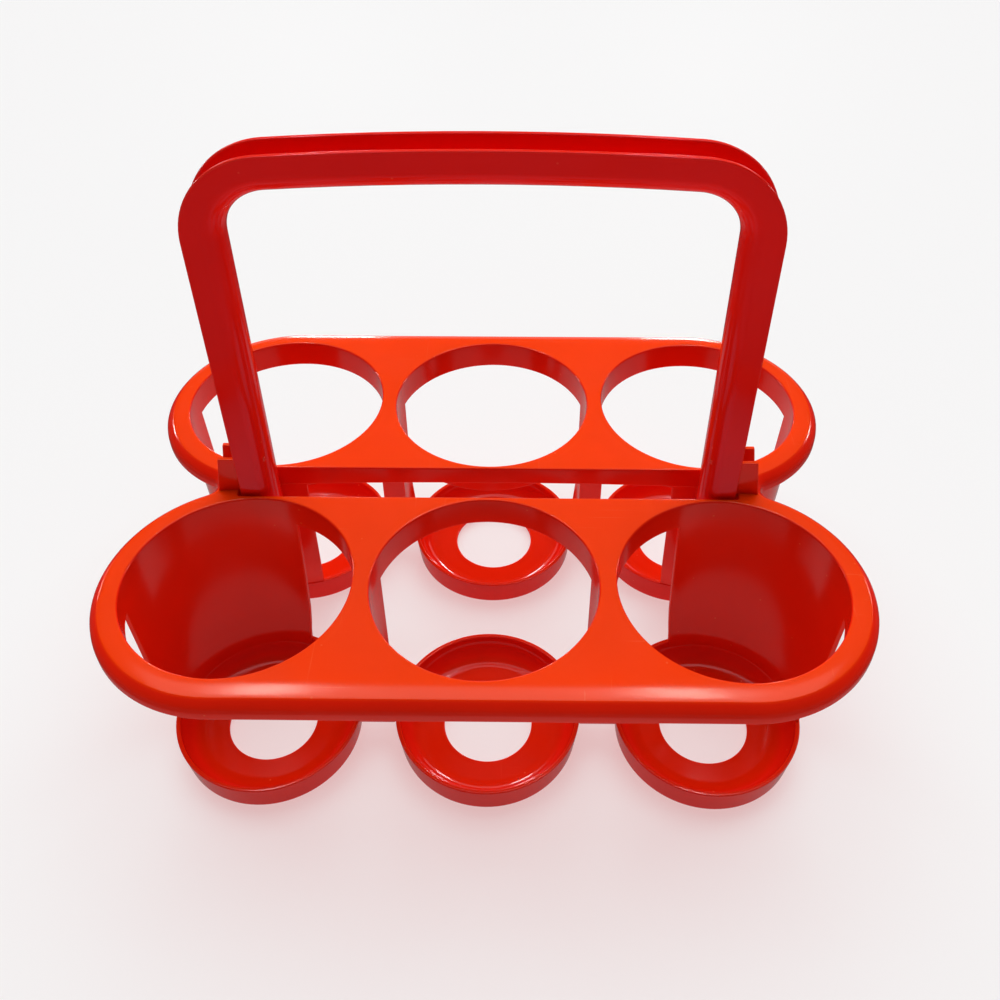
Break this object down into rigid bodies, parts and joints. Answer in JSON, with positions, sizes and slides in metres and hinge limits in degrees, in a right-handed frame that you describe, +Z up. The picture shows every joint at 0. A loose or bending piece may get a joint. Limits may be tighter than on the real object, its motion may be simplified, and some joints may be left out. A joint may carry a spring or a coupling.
{
  "type": "milk bottle carrier",
  "caption": "Moulded plastic bottle carrier with rows of round cells over shallow cups and a tall lift-out arched handle along the middle.",
  "frame": {"origin": "on the floor, under the middle of the carrier", "axes": "+X along the rows of cells, +Y across them from the front row to the rear row, +Z up"},
  "size_m": [0.3162, 0.231, 0.2662],
  "materials": {
    "carrier_plastic": "glossy moulded",
    "handle_plastic": "glossy moulded"
  },
  "bodies": {
    "carrier": {"front_plate": "carrier_plastic", "rear_plate": "carrier_plastic", "left_waist": "carrier_plastic", "right_waist": "carrier_plastic", "front_left_cup": "carrier_plastic", "front_middle_cup": "carrier_plastic", "front_right_cup": "carrier_plastic", "rear_left_cup": "carrier_plastic", "rear_middle_cup": "carrier_plastic", "rear_right_cup": "carrier_plastic", "left_front_end_wall": "carrier_plastic", "left_rear_end_wall": "carrier_plastic", "right_front_end_wall": "carrier_plastic", "right_rear_end_wall": "carrier_plastic", "left_front_pillar": "carrier_plastic", "left_rear_pillar": "carrier_plastic", "right_front_pillar": "carrier_plastic", "right_rear_pillar": "carrier_plastic", "left_front_cheek": "carrier_plastic", "left_rear_cheek": "carrier_plastic", "right_front_cheek": "carrier_plastic", "right_rear_cheek": "carrier_plastic"},
    "handle": {"handle_grip": "handle_plastic", "handle_left_leg": "handle_plastic", "handle_right_leg": "handle_plastic"}
  },
  "joints": [
    {"name": "handle_lift", "type": "slide", "parent": "carrier", "child": "handle", "axis": [0, 0, 1], "range_m": [0, 0.07]}
  ]
}
